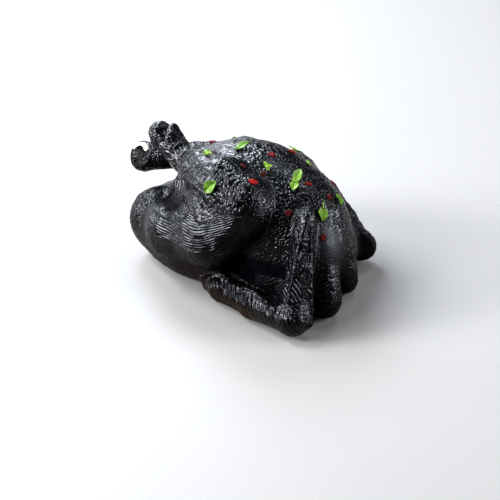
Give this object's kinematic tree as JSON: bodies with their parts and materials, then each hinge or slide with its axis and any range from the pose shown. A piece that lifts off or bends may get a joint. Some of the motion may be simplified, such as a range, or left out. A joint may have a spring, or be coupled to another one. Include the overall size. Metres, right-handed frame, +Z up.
{
  "type": "whole black chicken",
  "caption": "Whole dressed black-skinned chicken lying on its back, legs raised and crossed, wings folded, with basil leaves and chilli flakes.",
  "frame": {"origin": "centre of the bounding box on the surface it lies on", "axes": "+Z up, +X towards the neck end, -Y towards the side the picture shows"},
  "size_m": [0.1892, 0.137, 0.0993],
  "materials": {
    "black_skin": "wet black skin with blue-grey highlights, stuck with dark red chilli flakes",
    "cartilage": "moist off-white cartilage",
    "basil": "fresh green leaf, slightly glossy"
  },
  "bodies": {
    "root": {"bird": "black_skin", "hock_cartilage": "cartilage", "basil_top_leaf": "basil", "basil_star_sprig": "basil", "basil_knee_leaf": "basil", "basil_small_sprig": "basil", "basil_twin_sprig": "basil", "basil_shoulder_sprig": "basil", "basil_tiny_sprig": "basil", "basil_neck_leaf": "basil", "basil_stalked_leaf": "basil", "basil_far_leaf": "basil", "basil_far_sprig": "basil"}
  },
  "joints": []
}
